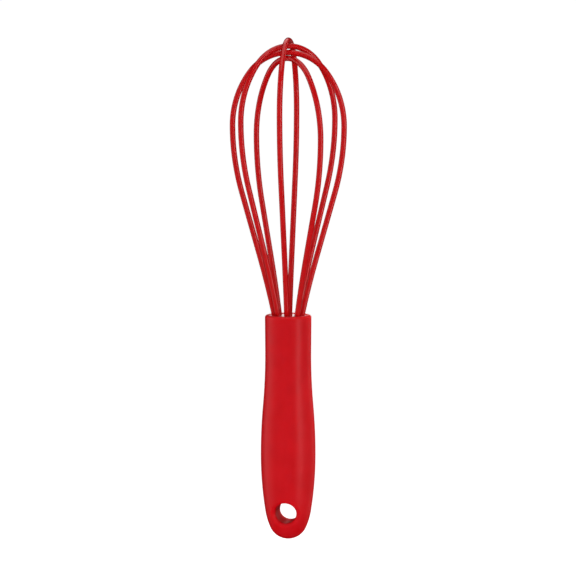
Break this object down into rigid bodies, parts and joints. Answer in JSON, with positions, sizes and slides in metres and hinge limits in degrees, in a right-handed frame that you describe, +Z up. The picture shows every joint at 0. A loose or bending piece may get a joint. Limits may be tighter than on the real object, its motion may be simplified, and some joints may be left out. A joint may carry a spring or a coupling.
{
  "type": "balloon whisk",
  "caption": "Slim balloon whisk: looped wires in silicone sleeves, crossing at the crown, set in a round moulded handle with a hanging hole.",
  "frame": {"origin": "centre of the hanging hole, on the whisk's axis", "axes": "+Z up the whisk's axis from the butt of the handle to the balloon's crown; Y along the hanging hole, with the front of the handle facing -Y; +X to the right seen from the front"},
  "size_m": [0.0628, 0.0608, 0.2674],
  "materials": {
    "handle_plastic": "satin moulded red",
    "guide_plastic": "glossy moulded red",
    "resin": "cast, clear yellowish",
    "anchor_plastic": "moulded, dark",
    "wire_steel": "drawn stainless wire",
    "silicone": "satin food-grade silicone, red"
  },
  "bodies": {
    "root": {"handle_body": "handle_plastic", "wire_guide": "guide_plastic", "resin_fill": "resin", "anchor_block": "anchor_plastic", "core_wire_1": "wire_steel", "core_wire_2": "wire_steel", "core_wire_3": "wire_steel", "core_wire_4": "wire_steel", "silicone_sleeve_1": "silicone", "silicone_sleeve_2": "silicone", "silicone_sleeve_3": "silicone", "silicone_sleeve_4": "silicone"}
  },
  "joints": []
}
